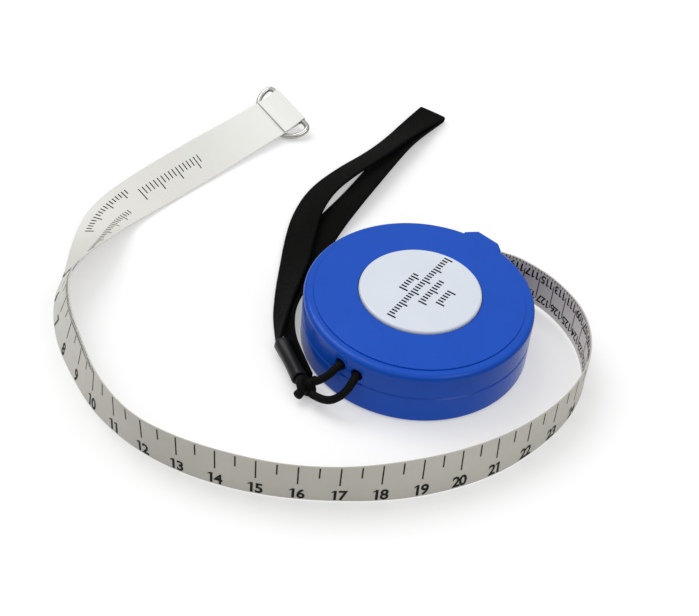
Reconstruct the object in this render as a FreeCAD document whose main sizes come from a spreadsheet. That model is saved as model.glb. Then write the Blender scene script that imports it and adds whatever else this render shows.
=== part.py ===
import FreeCAD, Part
import math
import os
import re

import Sketcher
from FreeCAD import Placement, Rotation, Vector

# Round retractable tape measure, in millimetres.
# The origin is on the case's axis at its flat bottom face, +Z up through the push button.
# The tape leaves the case at +X +Y, runs clockwise round the case and ends at -X +Y in a folded ring.

doc = FreeCAD.newDocument("tape_measure")

SIZES = (
    ("case_radius", 30.0, "outer radius of the round case"),
    ("case_top", 16.2, "height of the top face at its edge"),
    ("crown_rise", 0.9, "rise of the slightly coned top face, up to the button's hole"),
    ("seam_height", 8.2, "height of the joint between the two covers"),
    ("seam_bevel", 0.35, "bevel of each cover at the joint"),
    ("wall", 1.4, "side wall of the front cover"),
    ("floor_thick", 1.2, "rear cover's floor"),
    ("roof_thick", 1.2, "front cover's roof"),
    ("lip_rise", 1.0, "height of the rear cover's locating lip above the joint"),
    ("lip_thick", 0.7, "thickness of the locating lip"),
    ("fit_gap", 0.05, "gap between pieces that locate each other"),
    ("shoulder_round", 1.4, "rounding of the case's top edge"),
    ("foot_round", 1.0, "rounding of the case's bottom edge"),
    ("step_radius", 27.45, "radius of the small step round the top face"),
    ("step_depth", 0.35, "drop of the step, down to the shoulder"),
    ("step_round", 0.12, "rounding of the step's upper edge"),
    ("front_clear", 4.8, "inset of the clear space inside the front cover"),
    ("rear_clear", 5.3, "inset of the clear space inside the rear cover"),
    ("pilot_extra", 0.5, "depth of each screw hole past the screw's tip"),
    ("button_radius", 15.95, "outer radius of the push button"),
    ("button_gap", 0.2, "gap round the push button"),
    ("button_top", 17.9, "height of the push button's top"),
    ("button_thick", 1.2, "thickness of the push button's top"),
    ("button_round", 0.7, "rounding of the push button's rim"),
    ("button_skirt", 1.15, "wall of the push button's skirt"),
    ("flange_radius", 17.2, "outer radius of the flange that keeps the button in"),
    ("flange_bottom", 13.9, "underside of the button's flange"),
    ("flange_top", 14.9, "top of the button's flange"),
    ("stem_radius", 2.4, "radius of the button's stem"),
    ("stem_tip_radius", 1.2, "radius of the stem's tip, which holds the brake"),
    ("stem_bottom", 2.75, "lower end of the stem"),
    ("arbor_radius", 4.5, "outer radius of the fixed arbor"),
    ("arbor_bore", 2.46, "bore of the arbor, which guides the stem"),
    ("arbor_foot", 0.6, "lower end of the arbor, let into the floor"),
    ("arbor_top", 13.2, "upper end of the arbor"),
    ("window_top", 4.1, "top of the arbor's three open windows"),
    ("window_width", 2.6, "width of each window"),
    ("spoke_width", 1.8, "width of each brake spoke"),
    ("spider_bottom", 3.2, "underside of the brake spider at rest"),
    ("spider_top", 4.0, "top of the brake spider at rest"),
    ("spider_inner", 9.0, "inner radius of the brake spider's ring"),
    ("spider_outer", 14.0, "outer radius of the brake spider's ring"),
    ("pad_inner", 9.6, "inner radius of the brake pad"),
    ("pad_outer", 13.6, "outer radius of the brake pad"),
    ("pad_top", 4.5, "top of the brake pad at rest"),
    ("hub_radius", 17.9, "outer radius of the reel's hub"),
    ("hub_wall", 1.2, "wall of the reel's hub"),
    ("hub_bottom", 1.5, "lower end of the reel's hub"),
    ("web_bottom", 4.55, "underside of the reel's web"),
    ("web_top", 5.35, "top of the reel's web"),
    ("lid_bottom", 11.3, "underside of the reel's lid"),
    ("lid_top", 12.0, "top of the reel's lid"),
    ("running_gap", 0.06, "radial clearance of the reel on the arbor"),
    ("anchor_slot", 1.0, "width of the slot that takes the tape's inner end"),
    ("washer_radius", 6.6, "outer radius of the thrust washer"),
    ("washer_top", 12.35, "top of the thrust washer"),
    ("clip_bottom", 12.4, "underside of the arbor's retaining clip"),
    ("clip_top", 12.8, "top of the arbor's retaining clip"),
    ("clip_groove", 4.1, "radius of the groove that holds the retaining clip"),
    ("coil_radius", 18.1, "inner radius of the wound tape"),
    ("coil_bottom", 1.6, "lower edge of the wound tape"),
    ("tape_width", 13.0, "width of the tape"),
    ("tape_thick", 0.35, "thickness of the tape"),
    ("coil_pitch", 0.375, "growth of the wound tape's radius in each turn"),
    ("coil_turns", 16, "turns of tape on the reel"),
    ("coil_exit_angle", 85.0, "angle at which the tape leaves the wound coil"),
    ("power_radius", 4.75, "inner radius of the spiral spring"),
    ("power_pitch", 1.28, "growth of the spiral spring's radius in each turn"),
    ("power_turns", 9, "turns of the spiral spring"),
    ("power_thick", 0.2, "thickness of the spiral spring"),
    ("power_bottom", 5.6, "lower edge of the spiral spring"),
    ("power_top", 11.0, "upper edge of the spiral spring"),
    ("return_radius", 3.7, "mean radius of the button's return spring"),
    ("return_wire", 0.5, "wire of the button's return spring"),
    ("return_turns", 3, "turns of the button's return spring"),
    ("boss_orbit", 26.7, "distance of the screw bosses from the axis"),
    ("boss_radius", 2.0, "radius of the screw bosses"),
    ("screw_radius", 0.8, "radius of the case screws"),
    ("screw_head_radius", 1.25, "radius of the screw heads"),
    ("screw_head_bottom", 2.0, "underside of the sunken screw heads"),
    ("screw_head_top", 3.0, "seat of the screw heads"),
    ("screw_tip", 12.5, "upper end of the case screws"),
    ("screw_slot", 0.4, "width and depth of the slot in the screw heads"),
    ("nose_bottom", 0.6, "lower face of the nose at the mouth"),
    ("nose_top", 15.85, "upper face of the nose at the mouth"),
    ("nose_band", 1.2, "depth below the case's top in which the nose's edges are rounded"),
    ("nose_round", 0.6, "rounding of the nose's edges"),
    ("mouth_x", 20.8, "centre of the mouth"),
    ("mouth_y", 22.5, "centre of the mouth"),
    ("mouth_heading", -8.0, "direction of the mouth, from +X"),
    ("mouth_width", 1.3, "width of the slot in the mouth"),
    ("mouth_bottom", 1.3, "lower end of the slot in the mouth"),
    ("mouth_top", 14.9, "upper end of the slot in the mouth"),
    ("lug_hole_radius", 1.7, "radius of the two holes for the strap's cord"),
    ("cord_radius", 1.05, "radius of the strap's cord"),
    ("knot_radius", 2.8, "radius of the knot"),
    ("ferrule_radius", 2.15, "outer radius of the strap's ferrule"),
    ("ferrule_bore", 1.5, "bore of the strap's ferrule"),
    ("webbing_thick", 0.9, "thickness of the strap's webbing"),
    ("ring_wire", 0.8, "radius of the end ring's wire"),
    ("ring_left", 8.5, "reach of the ring's wire past the tape's middle, on the left"),
    ("ring_right", 9.6, "reach of the ring's wire past the tape's middle, on the right"),
    ("ring_depth", 8.4, "distance between the ring's bar and its bow"),
    ("ring_bar_round", 1.6, "bend at each end of the ring's bar"),
    ("ring_bow_round", 6.6, "bend at each end of the ring's bow"),
    ("ring_droop", 19.0, "angle of the ring below the tape"),
    ("fold_gap", 0.1, "gap between the ring's bar and the tape round it"),
    ("fold_tail", 7.2, "length of the tape's folded tail"),
)

SCREW_ANGLES = (20, 150, 270)
LUG_HOLES = ((-128.1, 11.3), (-118.4, 10.9))
WINDOW_ANGLES = (30, 150, 270)

# The nose's outline from above: it stands proud of the round wall and ends at the mouth.
NOSE_OUTLINE = ((9.5, 24.0), (11.3, 27.8), (15.1, 28.6), (20.5, 24.2), (21.3, 21.2), (18.0, 20.5))

# Middle line of the tape outside its coil: x, y, z and the tape's roll from upright, in degrees.
# A positive roll leans the upper edge towards the inside of the loop.
TAPE_ROUTE = (
    (2.1, 24.6, 8.1, 0), (8.6, 24.2, 8.1, 0), (15.0, 23.5, 8.1, 0), (20.8, 22.5, 8.1, 0),
    (27.5, 21.0, 7.8, 3), (37.0, 14.0, 7.3, 3), (44.0, 2.5, 6.8, -1), (45.0, -12.0, 6.6, 0),
    (40.0, -24.5, 6.6, 0), (32.5, -34.5, 6.6, 0), (23.0, -43.5, 6.6, 3), (11.5, -50.5, 6.6, 3),
    (-1.0, -55.5, 6.6, 2), (-14.0, -58.5, 6.6, -4), (-28.0, -59.5, 6.6, -5), (-41.5, -58.0, 6.6, -3),
    (-54.5, -54.5, 6.6, -4), (-66.5, -48.5, 6.6, -5), (-77.0, -38.0, 6.6, 4), (-83.5, -27.0, 6.6, 12),
    (-90.0, -14.5, 6.6, 18), (-93.5, -0.5, 6.7, 21), (-91.0, 12.0, 5.0, 39), (-89.5, 24.0, 3.2, 70),
    (-87.0, 36.5, 2.2, 98), (-77.0, 49.0, 3.2, 117), (-66.0, 62.5, 3.9, 123), (-56.0, 76.0, 3.8, 114),
    (-48.0, 85.6, 4.6, 111), (-42.9, 91.8, 4.9, 110),
)

# Middle lines of the strap's two layers of webbing: x, y, z, roll and width.
OUTER_WEBBING = (
    (-34.9, -9.2, 2.75, 15, 3.8), (-35.3, -1.0, 3.6, 34, 7.5), (-34.8, 10.0, 4.0, 45, 9.0),
    (-34.0, 22.0, 2.7, 62, 9.0), (-33.6, 34.0, 2.3, 70, 9.0), (-32.6, 45.0, 2.3, 70, 9.0),
    (-29.2, 56.5, 2.3, 70, 9.0), (-22.2, 66.5, 2.8, 68, 9.0), (-14.4, 74.8, 3.6, 65, 9.0),
    (-8.6, 83.5, 3.6, 65, 9.0), (-3.6, 92.5, 2.8, 75, 9.0), (1.8, 101.8, 1.8, 90, 9.0),
)
INNER_WEBBING = (
    (-25.7, -21.0, 3.0, 8, 3.2), (-29.0, -14.8, 3.3, 10, 4.4), (-32.0, -8.5, 3.5, 14, 5.6),
    (-33.8, 0.4, 3.7, 30, 7.5), (-33.1, 11.0, 3.1, 58, 9.0),
    (-31.2, 22.5, 1.5, 80, 9.0), (-29.0, 33.0, 1.0, 86, 9.0), (-25.6, 43.0, 1.3, 83, 9.0),
    (-20.8, 52.5, 2.1, 70, 9.0), (-16.4, 62.0, 2.4, 66, 9.0), (-12.2, 72.0, 2.4, 66, 9.0),
    (-7.6, 82.2, 2.4, 65, 9.0), (-3.0, 91.8, 1.7, 75, 9.0), (1.8, 101.6, 0.65, 90, 9.0),
)

# The cord goes from the knot through one hole, round the bar between the holes and back to the knot.
KNOT = Vector(-26.8, -24.8, 3.3)
KNOT_TAIL = Vector(-29.3, -27.2, 2.3)
CORD_ROUTE = (
    (-24.3, -24.8, 5.5), (-21.8, -26.2, 8.4), (-19.2, -24.5, 11.2), (-16.6, -21.4, 11.5),
    (-13.1, -23.4, 11.1), (-14.3, -26.6, 10.7), (-16.4, -29.9, 7.8), (-19.6, -30.0, 4.6),
    (-22.6, -28.9, 3.6), (-24.9, -27.2, 3.4),
)
FERRULE_ENDS = (Vector(-28.4, -21.6, 2.75), Vector(-34.3, -9.4, 2.75))


# ---------------------------------------------------------------- sheet and expressions

sheet = doc.addObject("Spreadsheet::Sheet", "Sizes")
for row, (alias, number, note) in enumerate(SIZES, 1):
    sheet.set(f"A{row}", note)
    sheet.set(f"B{row}", str(number))
    sheet.setAlias(f"B{row}", alias)
doc.recompute()
ALIASES = {alias for alias, number, note in SIZES}


def formula(text):
    """An expression with each size's name pointed at its cell."""
    return re.sub(r"[a-z_]+", lambda found: "Sizes." + found[0] if found[0] in ALIASES else found[0], text)


def size(text):
    """The number that an expression of sizes comes to."""
    return float(sheet.evalExpression(formula(text)))


def bind(item, **properties):
    """Tie properties to expressions; a double underscore stands for a dot."""
    for name, text in properties.items():
        item.setExpression(name.replace("__", "."), formula(text))
    return item


# ---------------------------------------------------------------- primitives and booleans

def cylinder(name, radius, bottom, top, x="0", y="0"):
    item = doc.addObject("Part::Cylinder", name)
    bind(item, Radius=radius, Height=f"({top}) - ({bottom})")
    return bind(item, Placement__Base__x=x, Placement__Base__y=y, Placement__Base__z=bottom)


def cut(name, base, *tools):
    item = doc.addObject("Part::Cut", name)
    item.Base = base
    item.Tool = tools[0] if len(tools) == 1 else join(name + "_tools", *tools)
    return item


def join(name, *pieces):
    item = doc.addObject("Part::MultiFuse", name)
    item.Shapes = list(pieces)
    return item


def tube(name, outer, inner, bottom, top):
    bore = cylinder(name + "_bore", inner, f"{bottom} - 1", f"{top} + 1")
    return cut(name, cylinder(name + "_outside", outer, bottom, top), bore)


def bar(name, length, width, bottom, top, angle, start=0.0):
    """A straight bar from the axis outwards at an angle, as wide as given."""
    item = doc.addObject("Part::Box", name)
    bind(item, Length=length, Width=width, Height=f"({top}) - ({bottom})")
    turn = Rotation(Vector(0, 0, 1), angle)
    item.Placement = Placement(turn.multVec(Vector(start, -size(width) / 2, size(bottom))), turn)
    return item


def feature(name, shape):
    item = doc.addObject("Part::Feature", name)
    item.Shape = shape
    return item


# ---------------------------------------------------------------- sketched bodies

def outline_sketch(body, name, plane_role, outline):
    """A closed outline of straight lines whose corners are tied to the sheet."""
    sketch = body.newObject("Sketcher::SketchObject", name)
    plane = next(item for item in body.Origin.OriginFeatures if item.Role == plane_role)
    sketch.AttachmentSupport = (plane, [""])
    sketch.MapMode = "FlatFace"
    corners = [Vector(size(across), size(up), 0) for across, up in outline]
    for index, corner in enumerate(corners):
        sketch.addGeometry(Part.LineSegment(corner, corners[(index + 1) % len(corners)]), False)
    for index in range(len(corners)):
        sketch.addConstraint(Sketcher.Constraint("Coincident", index, 2, (index + 1) % len(corners), 1))
    for index, corner in enumerate(outline):
        for kind, text, axis in (("DistanceX", corner[0], -2), ("DistanceY", corner[1], -1)):
            if abs(size(text)) < 1e-9:
                sketch.addConstraint(Sketcher.Constraint("PointOnObject", index, 1, axis))
                continue
            number = sketch.addConstraint(Sketcher.Constraint(kind, -1, 1, index, 1, size(text)))
            sketch.setExpression(f"Constraints[{number}]", formula(text))
    return sketch


def revolved(name, outline):
    """A body turned about Z from an outline of radii and heights."""
    body = doc.addObject("PartDesign::Body", name)
    sketch = outline_sketch(body, name + "_outline", "XZ_Plane", outline)
    turned = body.newObject("PartDesign::Revolution", name + "_turned")
    turned.Profile = sketch
    turned.ReferenceAxis = (sketch, ["V_Axis"])
    turned.Angle = 360
    sketch.Visibility = False
    doc.recompute()
    return body


def padded(name, outline, bottom, top):
    """A body with an outline seen from above, between two heights."""
    body = doc.addObject("PartDesign::Body", name)
    sketch = outline_sketch(body, name + "_outline", "XY_Plane", outline)
    bind(sketch, AttachmentOffset__Base__z=bottom)
    pad = body.newObject("PartDesign::Pad", name + "_pad")
    pad.Profile = sketch
    bind(pad, Length=f"({top}) - ({bottom})")
    doc.recompute()
    return body


def rounded(body, radius, choose):
    """Round the edges of a body's tip that the test chooses."""
    tip = body.Tip
    names = [f"Edge{number}" for number, edge in enumerate(tip.Shape.Edges, 1) if choose(edge)]
    fillet = body.newObject("PartDesign::Fillet", body.Name + "_round" + str(len(body.Group)))
    fillet.Base = (tip, names)
    bind(fillet, Radius=radius)
    doc.recompute()
    return body


def rim(radius, height):
    """A test for the round edge of a radius at a height."""
    def found(edge):
        curve = edge.Curve
        return (isinstance(curve, Part.Circle) and abs(curve.Radius - size(radius)) < 1e-3
                and abs(curve.Center.z - size(height)) < 1e-3)
    return found


# ---------------------------------------------------------------- routes

def bends(route):
    """Each bend of a route: where its arc starts, its middle and its end, its radius and its corner."""
    points = [Vector(*point[:3]) for point in route]
    for index in range(1, len(points) - 1):
        before = points[index] - points[index - 1]
        after = points[index + 1] - points[index]
        reach = 0.45 * min(before.Length, after.Length)
        half_turn = before.getAngle(after) / 2
        radius = reach / math.tan(half_turn)
        before.normalize()
        after.normalize()
        inward = (after - before).normalize()
        middle = points[index] + inward * (radius / math.cos(half_turn) - radius)
        yield index, points[index] - before * reach, middle, points[index] + after * reach, radius


def round_tube(route, radius):
    """A round tube along straight runs joined by tangent arcs."""
    edges = []
    last = Vector(*route[0][:3])
    for index, start, middle, end, bend_radius in bends(route):
        edges.append(Part.LineSegment(last, start).toShape())
        edges.append(Part.Arc(start, middle, end).toShape())
        last = end
    edges.append(Part.LineSegment(last, Vector(*route[-1][:3])).toShape())
    path = Part.Wire(edges)
    heading = Vector(*route[1][:3]) - Vector(*route[0][:3])
    section = Part.Wire(Part.makeCircle(radius, Vector(*route[0][:3]), heading))
    solid = path.makePipeShell([section], True, True)
    expected = math.pi * radius ** 2 * path.Length
    print(f"tube: length {path.Length:.1f}, volume ratio {solid.Volume / expected:.3f}")
    return solid


def blended(route, place, item):
    """A route's roll or width at a place counted in points, eased between the points."""
    nearest = min(max(int(place + 0.5), 1), len(route) - 2)
    offset = place - nearest
    if abs(offset) > 0.5:
        other = nearest + (1 if offset > 0 else -1)
        inner = (route[nearest][item] + route[other][item]) / 2
        return inner + (route[other][item] - inner) * (abs(offset) - 0.5) * 2
    before, here, after = (route[nearest + step][item] for step in (-1, 0, 1))
    return before * (0.5 - offset) ** 2 / 2 + here * (0.75 - offset ** 2) + after * (0.5 + offset) ** 2 / 2


def cross_frame(tangent, roll):
    """The directions across a strip and out of its face, for its roll from upright."""
    side = tangent.cross(Vector(0, 0, 1)).normalize()
    upright = side.cross(tangent)
    across = upright * math.cos(math.radians(roll)) + side * math.sin(math.radians(roll))
    return across, across.cross(tangent)


def strip(route, thickness, width=None):
    """A flat strip along a route: rectangular sections joined by ruled faces."""
    points = [Vector(*point[:3]) for point in route]
    stations = [(0, points[0], points[1] - points[0])]
    for index, start, middle, end, radius in bends(route):
        before = points[index] - points[index - 1]
        after = points[index + 1] - points[index]
        reach = 0.45 * min(before.Length, after.Length)
        stations.append((index - reach / before.Length, start, before))
        stations.append((index, middle, before.normalize() + Vector(after).normalize()))
        stations.append((index + reach / after.Length, end, after))
    stations.append((len(points) - 1, points[-1], points[-1] - points[-2]))
    sections = []
    for place, centre, heading in stations:
        across, outward = cross_frame(Vector(heading).normalize(), blended(route, place, 3))
        half_width = across * ((width or blended(route, place, 4)) / 2)
        half_thick = outward * (thickness / 2)
        corners = [centre + half_width + half_thick, centre - half_width + half_thick,
                   centre - half_width - half_thick, centre + half_width - half_thick]
        sections.append(Part.makePolygon(corners + corners[:1]))
    return Part.makeLoft(sections, True, True)


def spiral(radius, pitch, turns, thickness, bottom, top, end_angle):
    """A wound strip: half circles whose centres alternate, so that each turn grows by the pitch."""
    def half_circle(number, offset):
        middle_x = 0 if number % 2 == 0 else pitch / 2
        reach = radius + number * pitch / 2 + offset
        sense = 1 if number % 2 == 0 else -1
        return Part.Arc(Vector(middle_x + sense * reach, 0, bottom), Vector(middle_x, sense * reach, bottom),
                        Vector(middle_x - sense * reach, 0, bottom)).toShape()

    inside = [half_circle(number, -thickness / 2) for number in range(2 * turns)]
    outside = [half_circle(number, thickness / 2) for number in range(2 * turns)]
    caps = [Part.LineSegment(inside[0].firstVertex().Point, outside[0].firstVertex().Point).toShape(),
            Part.LineSegment(inside[-1].lastVertex().Point, outside[-1].lastVertex().Point).toShape()]
    face = Part.Face(Part.Wire(inside + [caps[1]] + outside[::-1] + [caps[0]]))
    solid = face.extrude(Vector(0, 0, top - bottom))
    solid.rotate(Vector(0, 0, 0), Vector(0, 0, 1), end_angle)
    return solid


# ---------------------------------------------------------------- case

def nose(name, bottom, top, inside):
    """The block at the mouth, hollowed to the cover's inside radius."""
    outline = [(str(across), str(up)) for across, up in NOSE_OUTLINE]
    body = padded(name, outline, bottom, top)

    def free_edge(edge):
        middle = edge.CenterOfMass
        upright = abs(edge.tangentAt(edge.FirstParameter).z) > 0.9
        outside = edge.Length > 2 and middle.Length > size("case_radius") + 1
        return middle.z > size("case_top - nose_band") or (outside and upright)

    rounded(body, "nose_round", free_edge)
    return cut(name + "_hollowed", body, cylinder(name + "_inside", inside, f"{bottom} - 1", f"{top} + 1"))


def mouth_slot(name):
    item = doc.addObject("Part::Box", name)
    bind(item, Length="16", Width="mouth_width", Height="mouth_top - mouth_bottom")
    turn = Rotation(Vector(0, 0, 1), size("mouth_heading"))
    corner = turn.multVec(Vector(-9, -size("mouth_width") / 2, 0))
    item.Placement = Placement(Vector(size("mouth_x"), size("mouth_y"), size("mouth_bottom")) + corner, turn)
    return item


def on_boss_circle(angle):
    turn = math.radians(angle)
    return f"boss_orbit * {math.cos(turn):.6f}", f"boss_orbit * {math.sin(turn):.6f}"


def lug_hole(name, angle, height):
    item = doc.addObject("Part::Cylinder", name)
    bind(item, Radius="lug_hole_radius", Height="8")
    outward = Vector(math.cos(math.radians(angle)), math.sin(math.radians(angle)), 0)
    start = outward * (size("case_radius") - 5) + Vector(0, 0, height)
    item.Placement = Placement(start, Rotation(Vector(0, 0, 1), outward))
    return item


def front_cover():
    """Upper shell: roof with the button's hole, side wall, nose, screw pillars and lug holes."""
    shoulder = "case_top - step_depth"
    shell = revolved("front_shell", (
        ("button_radius + button_gap", "case_top - roof_thick"),
        ("button_radius + button_gap", "case_top + crown_rise"),
        ("step_radius", "case_top"), ("step_radius", shoulder),
        ("case_radius", shoulder), ("case_radius", "seam_height + seam_bevel"),
        ("case_radius - seam_bevel", "seam_height"), ("case_radius - wall", "seam_height"),
        ("case_radius - wall", "case_top - roof_thick")))
    rounded(shell, "shoulder_round", rim("case_radius", shoulder))
    rounded(shell, "step_round", rim("step_radius", "case_top"))
    pieces = [shell, nose("front_nose", "seam_height", "nose_top", "case_radius - wall")]
    holes = [mouth_slot("front_mouth")]
    for number, angle in enumerate(SCREW_ANGLES):
        x, y = on_boss_circle(angle)
        pieces.append(cylinder(f"pillar_{number}", "boss_radius",
                               "seam_height", "case_top - roof_thick", x, y))
        holes.append(cylinder(f"pilot_{number}", "screw_radius + 0.02",
                              "seam_height - 1", "screw_tip + pilot_extra", x, y))
    for number, (angle, height) in enumerate(LUG_HOLES):
        holes.append(lug_hole(f"lug_hole_{number}", angle, height))
    inside = cylinder("front_inside", "case_radius - front_clear", "seam_height", "case_top - roof_thick")
    cover = cut("front_cover", join("front_solid", *pieces), inside, *holes)
    return cover


def rear_cover():
    """Lower shell: floor, side wall with its locating lip, nose, screw bosses and the arbor's socket."""
    lip_outside = "case_radius - wall - fit_gap"
    lip_inside = "case_radius - wall - fit_gap - lip_thick"
    shell = revolved("rear_shell", (
        ("0", "0"), ("case_radius", "0"), ("case_radius", "seam_height - seam_bevel"),
        ("case_radius - seam_bevel", "seam_height"), (lip_outside, "seam_height"),
        (lip_outside, "seam_height + lip_rise"), (lip_inside, "seam_height + lip_rise"),
        (lip_inside, "floor_thick"), ("0", "floor_thick")))
    rounded(shell, "foot_round", rim("case_radius", "0"))
    pieces = [shell, nose("rear_nose", "nose_bottom", "seam_height", lip_inside)]
    holes = [mouth_slot("rear_mouth")]
    for number, angle in enumerate(SCREW_ANGLES):
        x, y = on_boss_circle(angle)
        pieces.append(cylinder(f"boss_{number}", "boss_radius", "0.5", "seam_height", x, y))
        holes.append(cylinder(f"screw_way_{number}", "screw_radius + 0.1", "-1", "seam_height + 4", x, y))
        holes.append(cylinder(f"head_way_{number}", "screw_head_radius + 0.1", "-1", "screw_head_top", x, y))
        holes.append(cylinder(f"pillar_way_{number}", "boss_radius + 0.1",
                              "seam_height", "seam_height + 3", x, y))
    inside = cylinder("rear_inside", "case_radius - rear_clear", "floor_thick", "seam_height + 3")
    socket = tube("arbor_socket", "arbor_radius + 0.02", "arbor_bore - 0.02", "arbor_foot", "floor_thick + 1")
    well = cylinder("stem_well", "stem_radius + 0.1", "0.8", "floor_thick + 1")
    return cut("rear_cover", join("rear_solid", *pieces), inside, socket, well, *holes)


def case_screws():
    """Three self-tapping screws that enter from below."""
    screws = []
    for number, angle in enumerate(SCREW_ANGLES):
        x, y = on_boss_circle(angle)
        shank = cylinder(f"shank_{number}", "screw_radius", "screw_head_top - 0.5", "screw_tip", x, y)
        head = cylinder(f"head_{number}", "screw_head_radius", "screw_head_bottom", "screw_head_top", x, y)
        slot = bar(f"driver_slot_{number}", "2 * screw_head_radius + 1", "screw_slot", "screw_head_bottom - 1",
                   "screw_head_bottom + screw_slot", angle, size("boss_orbit - screw_head_radius - 0.5"))
        screws.append(cut(f"screw_{number}", join(f"screw_blank_{number}", shank, head), slot))
    return join("case_screws", *screws)


# ---------------------------------------------------------------- button, brake and return spring

def push_button():
    """Disc with a skirt, a flange that keeps it in the case and a stem down the arbor."""
    inside = "button_radius - button_skirt"
    body = revolved("push_button", (
        ("0", "button_top"), ("button_radius", "button_top"), ("button_radius", "flange_top"),
        ("flange_radius", "flange_top"), ("flange_radius", "flange_bottom"), (inside, "flange_bottom"),
        (inside, "button_top - button_thick"), ("stem_radius", "button_top - button_thick"),
        ("stem_radius", "spider_top"), ("stem_tip_radius", "spider_top"), ("stem_tip_radius", "stem_bottom"),
        ("0", "stem_bottom")))
    return rounded(body, "button_round", rim("button_radius", "button_top"))


def button_spring():
    """Compression spring round the stem, between the arbor's top and the button."""
    low = size("arbor_top + return_wire / 2")
    high = size("button_top - button_thick - return_wire / 2 - 0.05")
    radius = size("return_radius")
    turns = size("return_turns")
    path = Part.Wire(Part.makeHelix((high - low) / turns, high - low, radius).Edges)
    section = Part.Wire(Part.makeCircle(size("return_wire / 2"), Vector(radius, 0, 0), Vector(0, 1, 0)))
    item = feature("button_spring", path.makePipeShell([section], True, True))
    item.Placement = Placement(Vector(0, 0, low), Rotation())
    return item


def brake_spider():
    """Ring under the reel's web, carried on three spokes by the button's stem."""
    ring = tube("spider_ring", "spider_outer", "spider_inner", "spider_bottom", "spider_top")
    centre = cylinder("spider_centre", "stem_radius", "spider_bottom", "spider_top")
    spokes = [bar(f"spoke_{number}", "spider_inner + 1", "spoke_width", "spider_bottom", "spider_top", angle)
              for number, angle in enumerate(WINDOW_ANGLES)]
    hole = cylinder("spider_hole", "stem_tip_radius + 0.02", "spider_bottom - 1", "spider_top + 1")
    return cut("brake_spider", join("spider_blank", ring, centre, *spokes), hole)


def spring_arbor():
    """Fixed hollow post with three windows open at its foot and a groove for its clip."""
    post = revolved("arbor_post", (
        ("arbor_bore", "arbor_foot"), ("arbor_radius", "arbor_foot"), ("arbor_radius", "clip_bottom"),
        ("clip_groove", "clip_bottom"), ("clip_groove", "clip_top"), ("arbor_radius", "clip_top"),
        ("arbor_radius", "arbor_top"), ("arbor_bore", "arbor_top")))
    windows = [bar(f"window_{number}", "arbor_radius + 1", "window_width", "floor_thick", "window_top", angle)
               for number, angle in enumerate(WINDOW_ANGLES)]
    return cut("spring_arbor", post, *windows)


# ---------------------------------------------------------------- reel

def reel_drum():
    """Hub that the tape is wound on, with a web that runs on the arbor."""
    body = revolved("drum_blank", (
        ("hub_radius - hub_wall", "hub_bottom"), ("hub_radius", "hub_bottom"), ("hub_radius", "lid_bottom"),
        ("hub_radius - hub_wall", "lid_bottom"), ("hub_radius - hub_wall", "web_top"),
        ("arbor_radius + running_gap", "web_top"), ("arbor_radius + running_gap", "web_bottom"),
        ("hub_radius - hub_wall", "web_bottom")))
    slot = bar("tape_anchor_slot", "3", "anchor_slot", "web_top + 0.6", "lid_bottom - 0.8", 200,
               size("hub_radius - 2"))
    return cut("reel_drum", body, slot)


# ---------------------------------------------------------------- tape's end and ring

def end_frame():
    """Place and directions at the tape's far end: along, across and out of the printed face."""
    last = Vector(*TAPE_ROUTE[-1][:3])
    along = (last - Vector(*TAPE_ROUTE[-2][:3])).normalize()
    across, outward = cross_frame(along, TAPE_ROUTE[-1][3])
    return last, along, across, outward


def tape_end_loop():
    """The tape's tail, folded round the ring's bar and back onto the printed face."""
    origin, along, across, outward = end_frame()
    half = size("tape_thick / 2")
    bend = size("ring_wire + fold_gap + tape_thick / 2")
    tail = size("fold_tail")

    def place(forward, up):
        return origin + along * forward + outward * up - across * size("tape_width / 2")

    def side(offset):
        """One face of the strip: half circle round the bar, then down to the tape."""
        reach = bend + offset
        return [Part.Arc(place(0, bend - reach), place(reach, bend), place(0, bend + reach)).toShape(),
                Part.LineSegment(place(0, bend + reach), place(-5, 3.4 * half + offset)).toShape(),
                Part.LineSegment(place(-5, 3.4 * half + offset), place(-tail, 2.8 * half + offset)).toShape()]

    inner, outer = side(-half), side(half)
    start = Part.LineSegment(inner[0].firstVertex().Point, outer[0].firstVertex().Point).toShape()
    finish = Part.LineSegment(inner[-1].lastVertex().Point, outer[-1].lastVertex().Point).toShape()
    face = Part.Face(Part.Wire(Part.sortEdges(inner + [finish] + outer + [start])[0]))
    return feature("tape_end_loop", face.extrude(across * size("tape_width")))


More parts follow.
